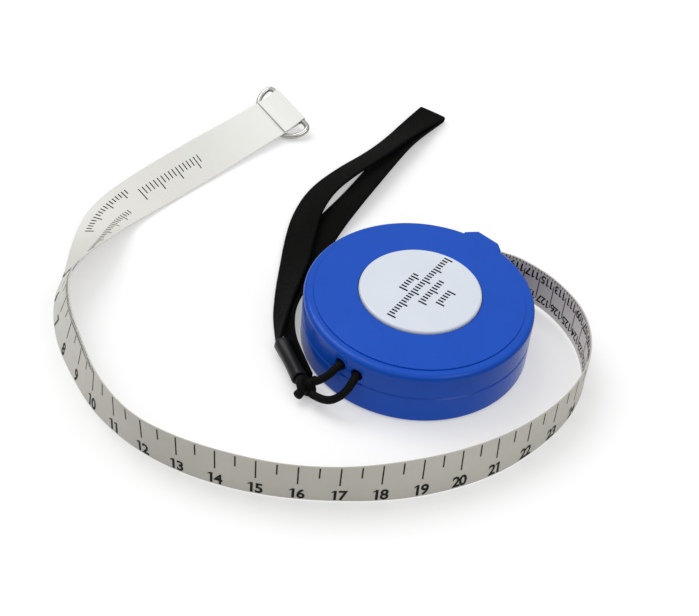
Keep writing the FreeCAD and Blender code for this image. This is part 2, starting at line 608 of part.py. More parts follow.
def end_ring():
    """D-shaped wire ring: its bar lies in the fold and its bow under the tape."""
    origin, along, across, outward = end_frame()
    centre = origin + outward * size("ring_wire + fold_gap + tape_thick / 2")
    droop = math.radians(size("ring_droop"))
    back = along * -math.cos(droop) - outward * math.sin(droop)
    left, right, depth = -size("ring_left"), size("ring_right"), size("ring_depth")
    small, large = size("ring_bar_round"), size("ring_bow_round")

    def at(sideways, down):
        return centre + across * sideways + back * down

    def corner(x, y, x_sense, y_sense, radius):
        """A quarter circle at an outside corner, from its upright side to its level side."""
        lean = radius * (1 - math.sqrt(0.5))
        return Part.Arc(at(x, y - y_sense * radius), at(x - x_sense * lean, y - y_sense * lean),
                        at(x - x_sense * radius, y)).toShape()

    edges = [Part.LineSegment(at(left + small, 0), at(right - small, 0)).toShape(),
             corner(right, 0, 1, -1, small),
             Part.LineSegment(at(right, small), at(right, depth - large)).toShape(),
             corner(right, depth, 1, 1, large),
             Part.LineSegment(at(right - large, depth), at(left + large, depth)).toShape(),
             corner(left, depth, -1, 1, large),
             Part.LineSegment(at(left, depth - large), at(left, small)).toShape(),
             corner(left, 0, -1, -1, small)]
    path = Part.Wire(Part.sortEdges(edges)[0])
    section = Part.Wire(Part.makeCircle(size("ring_wire"), path.Edges[0].firstVertex().Point,
                                        path.Edges[0].tangentAt(path.Edges[0].FirstParameter)))
    print("ring axis point", centre, "direction", across, "lowest", path.BoundBox.ZMin - size("ring_wire"))
    return feature("end_ring", path.makePipeShell([section], True, True))


# ---------------------------------------------------------------- strap

def strap_knot():
    """Round knot with the short tail of the cord beside it."""
    ball = Part.makeSphere(size("knot_radius"), KNOT)
    tail = Part.makeSphere(size("cord_radius") * 1.25, KNOT_TAIL)
    return feature("strap_knot", ball.fuse(tail))


def strap_ferrule():
    start, end = FERRULE_ENDS
    heading = end - start
    outside = Part.makeCylinder(size("ferrule_radius"), heading.Length, start, heading)
    bore = Part.makeCylinder(size("ferrule_bore"), heading.Length, start, heading)
    return feature("strap_ferrule", outside.cut(bore))


# ---------------------------------------------------------------- all sub-parts

coil_top = "coil_bottom + tape_width"
coil_middle = "coil_radius + tape_thick / 2"
subparts = [
    front_cover(),
    rear_cover(),
    case_screws(),
    push_button(),
    button_spring(),
    brake_spider(),
    tube("brake_pad", "pad_outer", "pad_inner", "spider_top", "pad_top"),
    tube("stem_clip", "stem_radius - 0.1", "stem_tip_radius + 0.01", "stem_bottom + 0.05", "spider_bottom"),
    spring_arbor(),
    reel_drum(),
    tube("reel_lid", "hub_radius", "arbor_radius + running_gap", "lid_bottom", "lid_top"),
    tube("thrust_washer", "washer_radius", "arbor_radius + fit_gap", "lid_top + 0.05", "washer_top"),
    tube("arbor_clip", "washer_radius - 0.4", "clip_groove + 0.02", "clip_bottom + 0.01", "clip_top - 0.01"),
    feature("main_spring", spiral(size("power_radius"), size("power_pitch"), int(size("power_turns")),
                                  size("power_thick"), size("power_bottom"), size("power_top"), 0)),
    feature("tape_coil", spiral(size(coil_middle), size("coil_pitch"), int(size("coil_turns")),
                                size("tape_thick"), size("coil_bottom"), size(coil_top), size("coil_exit_angle"))),
    feature("tape_blade", strip(TAPE_ROUTE, size("tape_thick"), size("tape_width"))),
    tape_end_loop(),
    end_ring(),
    feature("strap_cord", round_tube(CORD_ROUTE, size("cord_radius"))),
    strap_knot(),
    strap_ferrule(),
    feature("strap_webbing_outer", strip(OUTER_WEBBING, size("webbing_thick"))),
    feature("strap_webbing_inner", strip(INNER_WEBBING, size("webbing_thick"))),
]
doc.recompute()

for name, route in (("tape", TAPE_ROUTE), ("cord", CORD_ROUTE),
                    ("outer", OUTER_WEBBING), ("inner", INNER_WEBBING)):
    print(name, "bend radii", [round(bend[4], 1) for bend in bends(route)])

for item in doc.Objects:
    if "Invalid" in item.State or "Error" in item.State:
        raise RuntimeError(f"{item.Name} did not recompute: {item.State}")

os.makedirs("parts", exist_ok=True)
for item in subparts:
    item.Label = item.Name
    if item.Shape.isNull() or not item.Shape.isValid() or item.Shape.Volume <= 0:
        raise RuntimeError(f"{item.Label} has no valid shape")
    item.Shape.exportStep(f"parts/{item.Label}.step")
    box = item.Shape.BoundBox
    print(f"{item.Label}: {len(item.Shape.Solids)} solid(s), {item.Shape.Volume:.1f} mm3, "
          f"z {box.ZMin:.2f}..{box.ZMax:.2f}")
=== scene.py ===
"""Looks of the tape measure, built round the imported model.

Lengths are in metres and angles in degrees, unless a name says otherwise. The routes are in
millimetres, as in the CAD source, and MM turns them into metres.
"""
import functools
import math

import bmesh
import bpy
import numpy as np
from mathutils import Matrix, Vector


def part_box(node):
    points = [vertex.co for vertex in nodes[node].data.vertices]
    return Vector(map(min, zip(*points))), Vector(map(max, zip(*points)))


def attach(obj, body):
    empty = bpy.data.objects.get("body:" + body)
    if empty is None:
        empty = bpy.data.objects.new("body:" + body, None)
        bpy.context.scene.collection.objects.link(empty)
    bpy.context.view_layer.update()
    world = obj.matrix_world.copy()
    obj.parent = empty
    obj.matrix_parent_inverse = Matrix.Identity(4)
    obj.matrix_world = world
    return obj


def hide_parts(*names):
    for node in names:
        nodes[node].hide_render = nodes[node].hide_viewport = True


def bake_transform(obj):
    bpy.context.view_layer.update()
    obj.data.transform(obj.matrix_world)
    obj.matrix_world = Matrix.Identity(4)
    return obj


MM = 0.001
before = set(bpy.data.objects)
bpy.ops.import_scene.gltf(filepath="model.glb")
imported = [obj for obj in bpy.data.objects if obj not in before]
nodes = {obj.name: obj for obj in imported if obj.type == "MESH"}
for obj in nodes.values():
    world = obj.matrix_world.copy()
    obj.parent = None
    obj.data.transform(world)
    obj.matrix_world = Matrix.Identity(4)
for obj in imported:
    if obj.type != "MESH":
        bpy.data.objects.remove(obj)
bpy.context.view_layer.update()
scene = bpy.context.scene
UP = Vector((0, 0, 1))

# Millimetres: x, y, z, then the roll from upright in degrees, then the width where it changes.
TAPE_ROUTE = (
    (2.1, 24.6, 8.1, 0), (8.6, 24.2, 8.1, 0), (15.0, 23.5, 8.1, 0), (20.8, 22.5, 8.1, 0),
    (27.5, 21.0, 7.8, 3), (37.0, 14.0, 7.3, 3), (44.0, 2.5, 6.8, -1), (45.0, -12.0, 6.6, 0),
    (40.0, -24.5, 6.6, 0), (32.5, -34.5, 6.6, 0), (23.0, -43.5, 6.6, 3), (11.5, -50.5, 6.6, 3),
    (-1.0, -55.5, 6.6, 2), (-14.0, -58.5, 6.6, -4), (-28.0, -59.5, 6.6, -5), (-41.5, -58.0, 6.6, -3),
    (-54.5, -54.5, 6.6, -4), (-66.5, -48.5, 6.6, -5), (-77.0, -38.0, 6.6, 4), (-83.5, -27.0, 6.6, 12),
    (-90.0, -14.5, 6.6, 18), (-93.5, -0.5, 6.7, 21), (-91.0, 12.0, 5.0, 39), (-89.5, 24.0, 3.2, 70),
    (-87.0, 36.5, 2.2, 98), (-77.0, 49.0, 3.2, 117), (-66.0, 62.5, 3.9, 123), (-56.0, 76.0, 3.8, 114),
    (-48.0, 85.6, 4.6, 111), (-42.9, 91.8, 4.9, 110),
)
OUTER_WEBBING = (
    (-34.9, -9.2, 2.75, 15, 3.8), (-35.3, -1.0, 3.6, 34, 7.5), (-34.8, 10.0, 4.0, 45, 9.0),
    (-34.0, 22.0, 2.7, 62, 9.0), (-33.6, 34.0, 2.3, 70, 9.0), (-32.6, 45.0, 2.3, 70, 9.0),
    (-29.2, 56.5, 2.3, 70, 9.0), (-22.2, 66.5, 2.8, 68, 9.0), (-14.4, 74.8, 3.6, 65, 9.0),
    (-8.6, 83.5, 3.6, 65, 9.0), (-3.6, 92.5, 2.8, 75, 9.0), (1.8, 101.8, 1.8, 90, 9.0),
)
INNER_WEBBING = (
    (-25.7, -21.0, 3.0, 8, 3.2), (-29.0, -14.8, 3.3, 10, 4.4), (-32.0, -8.5, 3.5, 14, 5.6),
    (-33.8, 0.4, 3.7, 30, 7.5), (-33.1, 11.0, 3.1, 58, 9.0),
    (-31.2, 22.5, 1.5, 80, 9.0), (-29.0, 33.0, 1.0, 86, 9.0), (-25.6, 43.0, 1.3, 83, 9.0),
    (-20.8, 52.5, 2.1, 70, 9.0), (-16.4, 62.0, 2.4, 66, 9.0), (-12.2, 72.0, 2.4, 66, 9.0),
    (-7.6, 82.2, 2.4, 65, 9.0), (-3.0, 91.8, 1.7, 75, 9.0), (1.8, 101.6, 0.65, 90, 9.0),
)
CORD_ROUTE = (
    (-24.3, -24.8, 5.5), (-21.8, -26.2, 8.4), (-19.2, -24.5, 11.2), (-16.6, -21.4, 11.5),
    (-13.1, -23.4, 11.1), (-14.3, -26.6, 10.7), (-16.4, -29.9, 7.8), (-19.6, -30.0, 4.6),
    (-22.6, -28.9, 3.6), (-24.9, -27.2, 3.4),
)
MOUTH = Vector((20.8, 22.5, 8.1)) * MM
KNOT = Vector((-26.8, -24.8, 3.3)) * MM
KNOT_MIDDLE = Vector((-26.2, -24.4, 3.5)) * MM
KNOT_TAIL = Vector((-28.4, -27.2, 2.3)) * MM
FERRULE_START = Vector((-28.4, -21.6, 2.75)) * MM
FERRULE_END = Vector((-34.3, -9.4, 2.75)) * MM

TAPE_WIDTH = 13.0 * MM
TAPE_THICK = 0.35 * MM
WEBBING_THICK = 0.9 * MM
CORD_RADIUS = 1.05 * MM
RING_WIRE = 0.8 * MM


# ---------------------------------------------------------------- camera

CAMERA_PLACE = (-0.01766, -0.28893, 0.2729)
CAMERA_PITCH = math.radians(42.43)
CAMERA_ROLL = math.radians(5.90)
CAMERA_LENS = 77.3


def photo_camera():
    data = bpy.data.cameras.new("photo_camera")
    data.sensor_width, data.lens = 36.0, CAMERA_LENS
    data.clip_start, data.clip_end = 0.01, 20
    camera = bpy.data.objects.new("photo_camera", data)
    forward = Vector((0, math.cos(CAMERA_PITCH), -math.sin(CAMERA_PITCH)))
    level_right = Vector((1, 0, 0))
    level_up = Vector((0, math.sin(CAMERA_PITCH), math.cos(CAMERA_PITCH)))
    right = level_right * math.cos(CAMERA_ROLL) + level_up * math.sin(CAMERA_ROLL)
    up = level_up * math.cos(CAMERA_ROLL) - level_right * math.sin(CAMERA_ROLL)
    turn = Matrix((right, up, -forward)).transposed()
    camera.matrix_world = Matrix.Translation(CAMERA_PLACE) @ turn.to_4x4()
    scene.collection.objects.link(camera)
    scene.camera = camera


photo_camera()


# ---------------------------------------------------------------- materials

class Shader:
    """One procedural material, with short calls for the nodes that it is made of."""

    def __init__(self, name):
        self.material = bpy.data.materials.new(name)
        self.material.use_nodes = True
        self.tree = self.material.node_tree
        self.bsdf = next(n for n in self.tree.nodes if n.type == "BSDF_PRINCIPLED")

    def node(self, kind, **settings):
        made = self.tree.nodes.new(kind)
        for key, value in settings.items():
            setattr(made, key, value)
        return made

    def link(self, source, target):
        self.tree.links.new(source, target)

    def place(self, stretch=(1, 1, 1), layer="Object"):
        """Coordinates in metres, stretched along the axes."""
        coordinates = self.node("ShaderNodeTexCoord")
        mapping = self.node("ShaderNodeMapping")
        mapping.inputs["Scale"].default_value = stretch
        self.link(coordinates.outputs[layer], mapping.inputs["Vector"])
        return mapping.outputs["Vector"]

    def noise(self, scale, detail=2.0, place=None):
        made = self.node("ShaderNodeTexNoise")
        made.inputs["Scale"].default_value = scale
        made.inputs["Detail"].default_value = detail
        self.link(place or self.place(), made.inputs["Vector"])
        return made.outputs["Fac"]

    def ramp(self, source, low, high, start, end):
        """The source from low to high, turned into start to end."""
        made = self.node("ShaderNodeMapRange")
        for socket, value in (("From Min", low), ("From Max", high), ("To Min", start), ("To Max", end)):
            made.inputs[socket].default_value = value
        self.link(source, made.inputs["Value"])
        return made.outputs["Result"]

    def maths(self, operation, first, second):
        made = self.node("ShaderNodeMath", operation=operation)
        for socket, value in zip(made.inputs, (first, second)):
            if isinstance(value, (int, float)):
                socket.default_value = value
            else:
                self.link(value, socket)
        return made.outputs["Value"]

    def mixed(self, share, first, second):
        made = self.node("ShaderNodeMix", data_type="RGBA")
        self.link(share, made.inputs["Factor"])
        for socket, value in ((made.inputs[6], first), (made.inputs[7], second)):
            if isinstance(value, tuple):
                socket.default_value = (*value, 1)
            else:
                self.link(value, socket)
        return made.outputs[2]

    def bump(self, height, distance, strength=1.0):
        made = self.node("ShaderNodeBump")
        made.inputs["Distance"].default_value = distance
        made.inputs["Strength"].default_value = strength
        self.link(height, made.inputs["Height"])
        self.link(made.outputs["Normal"], self.bsdf.inputs["Normal"])

    def set(self, **values):
        for key, value in values.items():
            self.bsdf.inputs[key.replace("_", " ")].default_value = value

    def colour(self, source):
        self.link(source, self.bsdf.inputs["Base Color"])

    def roughness(self, source):
        self.link(source, self.bsdf.inputs["Roughness"])


def tinted(colour, factor):
    return tuple(min(channel * factor, 1.0) for channel in colour)


def moulded(name, colour, gloss, grain=5e-6, spread=0.06, shine=0.5):
    """Moulded plastic: slow shade changes, fine grain, and handling marks in the gloss."""
    s = Shader(name)
    shade = s.noise(90, 3)
    s.colour(s.mixed(s.ramp(shade, 0.3, 0.7, 0, 1),
                     tinted(colour, 1 - spread), tinted(colour, 1 + spread)))
    s.roughness(s.ramp(s.noise(240, 5), 0.3, 0.7, gloss - 0.03, gloss + 0.04))
    s.bump(s.noise(3500, 2), grain, 0.35)
    s.set(Specular_IOR_Level=shine)
    return s.material


def metal(name, colour, gloss, stretch=(1, 1, 1)):
    s = Shader(name)
    shade = s.noise(260, 3, s.place(stretch))
    s.colour(s.mixed(s.ramp(shade, 0.3, 0.7, 0, 1), tinted(colour, 0.82), colour))
    s.roughness(s.ramp(s.noise(1800, 3, s.place(stretch)), 0.3, 0.7, gloss, gloss + 0.12))
    s.bump(s.noise(2400, 2, s.place(stretch)), 3e-6, 0.4)
    s.set(Metallic=1.0)
    return s.material


def weave(s, along, across):
    """Height of a plain weave on UVs that hold metres along and across the strip."""
    place = s.place((1, 1, 1), "UV")
    parts = s.node("ShaderNodeSeparateXYZ")
    s.link(place, parts.inputs["Vector"])
    turns = [s.maths("SINE", s.maths("MULTIPLY", parts.outputs[axis], 2 * math.pi / pitch), 0.0)
             for axis, pitch in (("X", along), ("Y", across))]
    return s.ramp(s.maths("MULTIPLY", *turns), -1, 1, 0, 1)


# The strip is drawn whiter between these two distances along it, and stays so to the leader's end and
# over the fold: metres along the strip.
WHITER_FROM_TO = (0.190, 0.360)
WHITER_LEADER = (0.72, 0.72, 0.69)
# The reverse face is marked on the UVs by one metre more across the strip.
REVERSE_SHIFT = 1.0
# Painted light: the reverse face is drawn lighter than the printed face, in place of light that the
# lamps don't bring to it.
REVERSE_PAINTED_LIGHT = (0.66, 0.60, 0.54)


def cloth_tape(name, colour):
    """Coated cloth tape: the weave shows faintly through a satin coating."""
    s = Shader(name)
    parts = s.node("ShaderNodeSeparateXYZ")
    s.link(s.place((1, 1, 1), "UV"), parts.inputs["Vector"])
    worn = s.mixed(s.ramp(s.noise(55, 4), 0.3, 0.7, 0, 1),
                   tinted(colour, 0.94), tinted(colour, 1.03))
    on_back = s.maths("GREATER_THAN", parts.outputs["Y"], REVERSE_SHIFT / 2)
    # The reverse face takes the painted light colour.
    sides = s.mixed(on_back, worn, REVERSE_PAINTED_LIGHT)
    base = s.mixed(s.ramp(parts.outputs["X"], *WHITER_FROM_TO, 0, 1), sides, WHITER_LEADER)
    threads = weave(s, 0.42 * MM, 0.42 * MM)
    s.colour(s.mixed(s.ramp(threads, 0, 1, 0.0, 0.10), base, tinted(colour, 0.75)))
    s.roughness(s.ramp(s.noise(420, 3), 0.3, 0.7, 0.38, 0.55))
    s.bump(s.maths("ADD", threads, s.noise(900, 3)), 14e-6, 0.5)
    s.set(Specular_IOR_Level=0.35)
    return s.material


def webbing(name, colour):
    """Woven polyester: ribs across the strip, fuzz and a soft sheen."""
    s = Shader(name)
    threads = weave(s, 0.9 * MM, 0.62 * MM)
    fuzz = s.noise(5200, 3)
    base = s.mixed(threads, tinted(colour, 0.45), tinted(colour, 1.5))
    s.colour(s.mixed(s.ramp(s.noise(160, 3), 0.35, 0.7, 0, 0.35), base, tinted(colour, 2.0)))
    s.roughness(s.ramp(fuzz, 0.3, 0.7, 0.62, 0.85))
    s.bump(s.maths("ADD", threads, s.maths("MULTIPLY", fuzz, 0.5)), 0.1 * MM, 0.8)
    s.set(Sheen_Weight=0.004, Sheen_Roughness=0.4, Specular_IOR_Level=0.04)
    return s.material


def round_cord(name, colour):
    """Twisted cord: slanted strands with fuzz."""
    s = Shader(name)
    strands = s.node("ShaderNodeTexWave", wave_type="BANDS", bands_direction="DIAGONAL")
    strands.inputs["Scale"].default_value = 420
    strands.inputs["Distortion"].default_value = 1.2
    s.link(s.place(), strands.inputs["Vector"])
    fuzz = s.noise(4200, 3)
    s.colour(s.mixed(strands.outputs["Fac"], tinted(colour, 0.5), tinted(colour, 1.6)))
    s.roughness(s.ramp(fuzz, 0.3, 0.7, 0.5, 0.75))
    s.bump(s.maths("ADD", strands.outputs["Fac"], fuzz), 0.06 * MM, 0.7)
    s.set(Specular_IOR_Level=0.08)
    return s.material


def rubber(name, colour):
    s = Shader(name)
    s.colour(s.mixed(s.ramp(s.noise(500, 4), 0.3, 0.7, 0, 1),
                     tinted(colour, 0.7), tinted(colour, 1.4)))
    s.roughness(s.ramp(s.noise(900, 2), 0.3, 0.7, 0.7, 0.9))
    s.bump(s.noise(2600, 3), 20e-6, 0.8)
    return s.material


def ink(name, colour):
    s = Shader(name)
    s.colour(s.mixed(s.ramp(s.noise(2600, 3), 0.35, 0.75, 0, 1), colour, tinted(colour, 2.0)))
    s.roughness(s.ramp(s.noise(1500, 2), 0.3, 0.7, 0.4, 0.6))
    s.bump(s.noise(3000, 2), 4e-6, 0.4)
    s.set(Specular_IOR_Level=0.12)
    return s.material


BLUE = (0.002, 0.057, 0.385)
WHITE = (0.53, 0.565, 0.63)
LOOKS = {
    "case_plastic": moulded("blue_case", BLUE, 0.20, grain=1e-6, spread=0.03, shine=0.16),
    "button_plastic": moulded("white_button", WHITE, 0.34, spread=0.02),
    "inner_plastic": moulded("grey_plastic", (0.30, 0.30, 0.32), 0.5),
    "brake_rubber": rubber("brake_rubber", (0.03, 0.03, 0.03)),
    "spring_steel": metal("spring_steel", (0.42, 0.43, 0.46), 0.28),
    "screw_steel": metal("screw_steel", (0.55, 0.55, 0.57), 0.25),
    "tape_cloth": cloth_tape("tape_cloth", (0.435, 0.415, 0.368)),
    "ring_chrome": metal("ring_chrome", (0.46, 0.45, 0.42), 0.10),
    "strap_fabric": webbing("strap_webbing", (0.0018, 0.0018, 0.0015)),
    "ferrule_plastic": moulded("dark_sleeve", (0.013, 0.013, 0.015), 0.30,
                               grain=8e-6, spread=0.3, shine=0.16),
}
CORD_LOOK = round_cord("cord_fibre", (0.0015, 0.0015, 0.0015))
INK = ink("black_ink", (0.003, 0.003, 0.003))


# ---------------------------------------------------------------- mesh helpers

def link_mesh(name, mesh, material):
    made = bpy.data.objects.new(name, mesh)
    scene.collection.objects.link(made)
    mesh.materials.clear()
    mesh.materials.append(material)
    return made


def smooth(mesh):
    mesh.polygons.foreach_set("use_smooth", [True] * len(mesh.polygons))


def finished(name, bm, material):
    """Turns a bmesh into an object."""
    mesh = bpy.data.meshes.new(name)
    bm.to_mesh(mesh)
    bm.free()
    return link_mesh(name, mesh, material)


def finished_solid(name, bm, material, rounded=False):
    """Turns a bmesh into an object, with its faces turned outward."""
    bmesh.ops.recalc_face_normals(bm, faces=bm.faces)
    made = finished(name, bm, material)
    if rounded:
        smooth(made.data)
    return made


def bridge(bm, first, second):
    """Faces between two closed outlines of equally many vertices."""
    for k in range(len(first)):
        j = (k + 1) % len(first)
        bm.faces.new((first[k], first[j], second[j], second[k]))


def evaluated_mesh(thing):
    """The final mesh of a curve, text or mesh object, which is then removed."""
    bpy.context.view_layer.update()
    graph = bpy.context.evaluated_depsgraph_get()
    mesh = bpy.data.meshes.new_from_object(thing.evaluated_get(graph))
    bpy.data.objects.remove(thing)
    return mesh


def smooth_curve(name, values, resolution):
    """A smooth NURBS curve object whose control points are the values, three numbers each."""
    curve = bpy.data.curves.new(name, "CURVE")
    curve.dimensions = "3D"
    curve.resolution_u = resolution
    spline = curve.splines.new("NURBS")
    spline.points.add(len(values) - 1)
    for point, value in zip(spline.points, values):
        point.co = (*value, 1)
    spline.order_u = 3
    spline.use_endpoint_u = True
    thing = bpy.data.objects.new(name, curve)
    scene.collection.objects.link(thing)
    return thing


def smooth_line(values):
    """Points along the smooth curve through the values."""
    mesh = evaluated_mesh(smooth_curve("line", values, 16))
    return np.array([v.co for v in mesh.vertices])


class Strip:
    """The middle line of a flat strip, with its directions and its distance along the line."""

    def __init__(self, route):
        route = np.array(route, float)
        self.middle = smooth_line(route[:, :3] * MM)
        roll_and_width = np.zeros((len(route), 3))
        roll_and_width[:, :route.shape[1] - 3] = route[:, 3:]
        roll_and_width = smooth_line(roll_and_width)
        self.width = roll_and_width[:, 1] * MM
        heading = np.gradient(self.middle, axis=0)
        heading /= np.linalg.norm(heading, axis=1)[:, None]
        side = np.cross(heading, (0, 0, 1))
        side /= np.linalg.norm(side, axis=1)[:, None]
        upright = np.cross(side, heading)
        roll = np.radians(roll_and_width[:, 0])[:, None]
        self.heading = heading
        self.across = upright * np.cos(roll) + side * np.sin(roll)
        self.outward = np.cross(self.across, heading)
        steps = np.linalg.norm(np.diff(self.middle, axis=0), axis=1)
        self.run = np.concatenate([[0], np.cumsum(steps)])

    def at(self, run, across, outward):
        """The point that far along, across and out of the strip."""
        def mix(field):
            return Vector([float(np.interp(run, self.run, field[:, i])) for i in range(3)])
        return mix(self.middle) + mix(self.across) * across + mix(self.outward) * outward


def section(width, thick, columns, crown=0.0):
    """Outline of a strip's section, as (across, outward), with round edges and a crowned face."""
    edge = thick / 2
    flat = width / 2 - edge
    hold = 0.08 * MM
    places = [-flat + 2 * flat * i / columns for i in range(columns + 1)]
    places = [-flat, -flat + hold, *places[1:-1], flat - hold, flat]
    top = [(x, edge + crown * (1 - (x / flat) ** 2)) for x in places]
    tip = [(flat + edge * math.sin(turn), edge * math.cos(turn))
           for turn in (math.pi / 4, math.pi / 2, 3 * math.pi / 4)]
    half = top + tip
    return half + [(-x, -y) for x, y in half]


def swept(name, centres, acrosses, outwards, sections, runs, material):
    """A closed strip through sections, with UVs in metres along and across it.

    The half of the outline that faces inward has REVERSE_SHIFT added across.
    """
    bm = bmesh.new()
    layer = bm.loops.layers.uv.new("UVMap")
    rings = []
    for centre, across, outward, outline in zip(centres, acrosses, outwards, sections):
        rings.append([bm.verts.new(Vector(centre) + Vector(across) * x + Vector(outward) * y)
                      for x, y in outline])
    count = len(rings[0])
    for index in range(len(rings) - 1):
        for k in range(count):
            j = (k + 1) % count
            corners = ((index, k), (index, j), (index + 1, j), (index + 1, k))
            quad = bm.faces.new([rings[ring][corner] for ring, corner in corners])
            quad.smooth = True
            for loop, (ring, corner) in zip(quad.loops, corners):
                x, y = sections[ring][corner]
                loop[layer].uv = (runs[ring], x + (REVERSE_SHIFT if y < 0 else 0))
    for ring, order in ((rings[0], -1), (rings[-1], 1)):
        cap = bm.faces.new(ring[::order])
        for loop in cap.loops:
            loop[layer].uv = (0, 0)
    return finished_solid(name, bm, material)


def tube_mesh(name, points, radii, material, closed=False, sides=16):
    """A round tube along points. The radii are one number, or one for each point."""
    points = [Vector(p) for p in points]
    count = len(points)
    if not isinstance(radii, list):
        radii = [radii] * count
    bm = bmesh.new()
    rings, normal = [], None
    for i, point in enumerate(points):
        before = points[i - 1] if i or closed else point
        after = points[(i + 1) % count] if i < count - 1 or closed else point
        heading = (after - before).normalized()
        if normal is None:
            normal = heading.orthogonal().normalized()
        normal = (normal - heading * normal.dot(heading)).normalized()
        other = heading.cross(normal)
        rings.append([bm.verts.new(point + (normal * math.cos(a) + other * math.sin(a)) * radii[i])
                      for a in (2 * math.pi * k / sides for k in range(sides))])
    spans = count if closed else count - 1
    for i in range(spans):
        first, second = rings[i], rings[(i + 1) % count]
        shift = 0
        if i == count - 1:
            shift = min(range(sides), key=lambda s: (second[s].co - first[0].co).length)
        for k in range(sides):
            j = (k + 1) % sides
            bm.faces.new((first[k], first[j], second[(j + shift) % sides], second[(k + shift) % sides]))
    if not closed:
        bm.faces.new(rings[0][::-1])
        bm.faces.new(rings[-1])
    return finished_solid(name, bm, material, rounded=True)


def join_meshes(name, things, material):
    """Joins objects into one mesh and removes them."""
    bm = bmesh.new()
    for thing in things:
        start = len(bm.verts)
        bm.from_mesh(thing.data)
        bm.verts.ensure_lookup_table()
        for vertex in bm.verts[start:]:
            vertex.co = thing.matrix_world @ vertex.co
        bpy.data.objects.remove(thing)
    return finished(name, bm, material)


# ---------------------------------------------------------------- tape

tape = Strip(TAPE_ROUTE)
tape_outline = section(TAPE_WIDTH, TAPE_THICK, 10)
tape_piece = swept("tape_ribbon", tape.middle, tape.across, tape.outward,
                   [tape_outline] * len(tape.middle), tape.run, LOOKS["tape_cloth"])
tape_length = float(tape.run[-1])
mouth_run = float(tape.run[np.argmin(np.linalg.norm(tape.middle - np.array(MOUTH), axis=1))])

FOLD_TAIL = 7.2 * MM
FOLD_STEPS = 14
FOLD_GAP = 0.1 * MM
FOLD_OVERLAP = 0.2 * MM
FOLD_REST = 1.45 * TAPE_THICK


def end_fold():
    """The tape's tail, round the ring's bar and back down onto the printed face."""
    origin, along = Vector(tape.middle[-1]), Vector(tape.heading[-1])
    across, outward = Vector(tape.across[-1]), Vector(tape.outward[-1])
    bend = RING_WIRE + FOLD_GAP + TAPE_THICK / 2
    line = [(-FOLD_OVERLAP, 0.0)]
    for step in range(FOLD_STEPS + 1):
        turn = math.pi * step / FOLD_STEPS
        line.append((bend * math.sin(turn), bend - bend * math.cos(turn)))
    for step in range(1, FOLD_STEPS + 1):
        share = step / FOLD_STEPS
        settled = min(1.0, 1.45 * share ** 0.8)
        line.append((-FOLD_TAIL * share, 2 * bend + (FOLD_REST - 2 * bend) * settled))
    centres = [origin + along * x + outward * y for x, y in line]
    outwards = []
    for index in range(len(line)):
        x0, y0 = line[max(index - 1, 0)]
        x1, y1 = line[min(index + 1, len(line) - 1)]
        length = math.hypot(x1 - x0, y1 - y0)
        outwards.append(outward * ((x1 - x0) / length) - along * ((y1 - y0) / length))
    runs = [tape_length + index * 0.8 * MM for index in range(len(line))]
    outline = section(TAPE_WIDTH * 0.99, TAPE_THICK, 10)
    return swept("tape_fold", centres, [across] * len(line), outwards, [outline] * len(line), runs,
                 LOOKS["tape_cloth"])


fold_piece = end_fold()

# Printing: real thin ink shapes laid on the tape.
INK_THICK = 0.02 * MM
INK_GAP = 0.012 * MM
FACE_LIFT = TAPE_THICK / 2 + INK_GAP
HALF = TAPE_WIDTH / 2

# The front scale: one centimetre along the tape, the place of one reading, and the readings drawn,
# in halves of a centimetre and in tenths.
CENTIMETRE = 9.91 * MM
KNOWN_READING = 23.5
RUN_AT_KNOWN = 62.2 * MM
HALVES = range(10, 63)
TENTHS = range(55, 100)
LINE_WIDTH = 0.36 * MM
FINE_WIDTH = 0.34 * MM

# Digits: height, share of the full width, and how much bolder than the typeface.
FRONT_DIGITS = (3.5 * MM, 0.86, 0.03)
BACK_DIGITS = (2.7 * MM, 0.86, 0.02)
# The flag at the top of a 1, in heights of the digit.
FLAG = ((-0.06, 1.0), (-0.30, 0.84), (-0.30, 0.72), (-0.02, 0.88))

# Tick rows on the leader, in millimetres: start and end along the tape from the mouth, foot above
# the middle, height, pitch.
LEADER_ROWS = (
    (251.0, 278.5, 1.8, 2.7, 1.1), (263.0, 282.5, -4.0, 2.7, 1.1), (284.0, 308.5, -1.9, 4.2, 1.4),
)
LEADER_WIDTH = 0.32 * MM

# The reverse scale: where it starts from the mouth, its spaces, and its first numbers.
BACK_START = -11.865 * MM
BACK_COUNT = 51
BACK_PITCH = CENTIMETRE / 2
BACK_COARSE, BACK_FINE = 132, 125
BACK_WIDTH = 0.28 * MM
BACK_FINE_WIDTH = 0.24 * MM


def run_of(reading):
    """Distance along the strip of a reading on the printed scale."""
    return mouth_run + RUN_AT_KNOWN + (KNOWN_READING - reading) * CENTIMETRE


def ink_bar(bm, place, x0, x1, y0, y1):
    """A thin bar of ink between two places; place(x, y, lift) puts a point on the printed face."""
    long_way = max(abs(x1 - x0), abs(y1 - y0))
    steps = max(1, int(long_way / (1.2 * MM)))
    along_x = abs(x1 - x0) > abs(y1 - y0)
    rows = []
    for step in range(steps + 1):
        share = step / steps
        if along_x:
            ends = [(x0 + (x1 - x0) * share, y) for y in (y0, y1)]
        else:
            ends = [(x, y0 + (y1 - y0) * share) for x in (x0, x1)]
        rows.append([bm.verts.new(place(*ends[side], lift))
                     for side, lift in ((0, 0), (1, 0), (1, INK_THICK), (0, INK_THICK))])
    for first, second in zip(rows, rows[1:]):
        bridge(bm, first, second)
    bm.faces.new(rows[0][::-1])
    bm.faces.new(rows[-1])


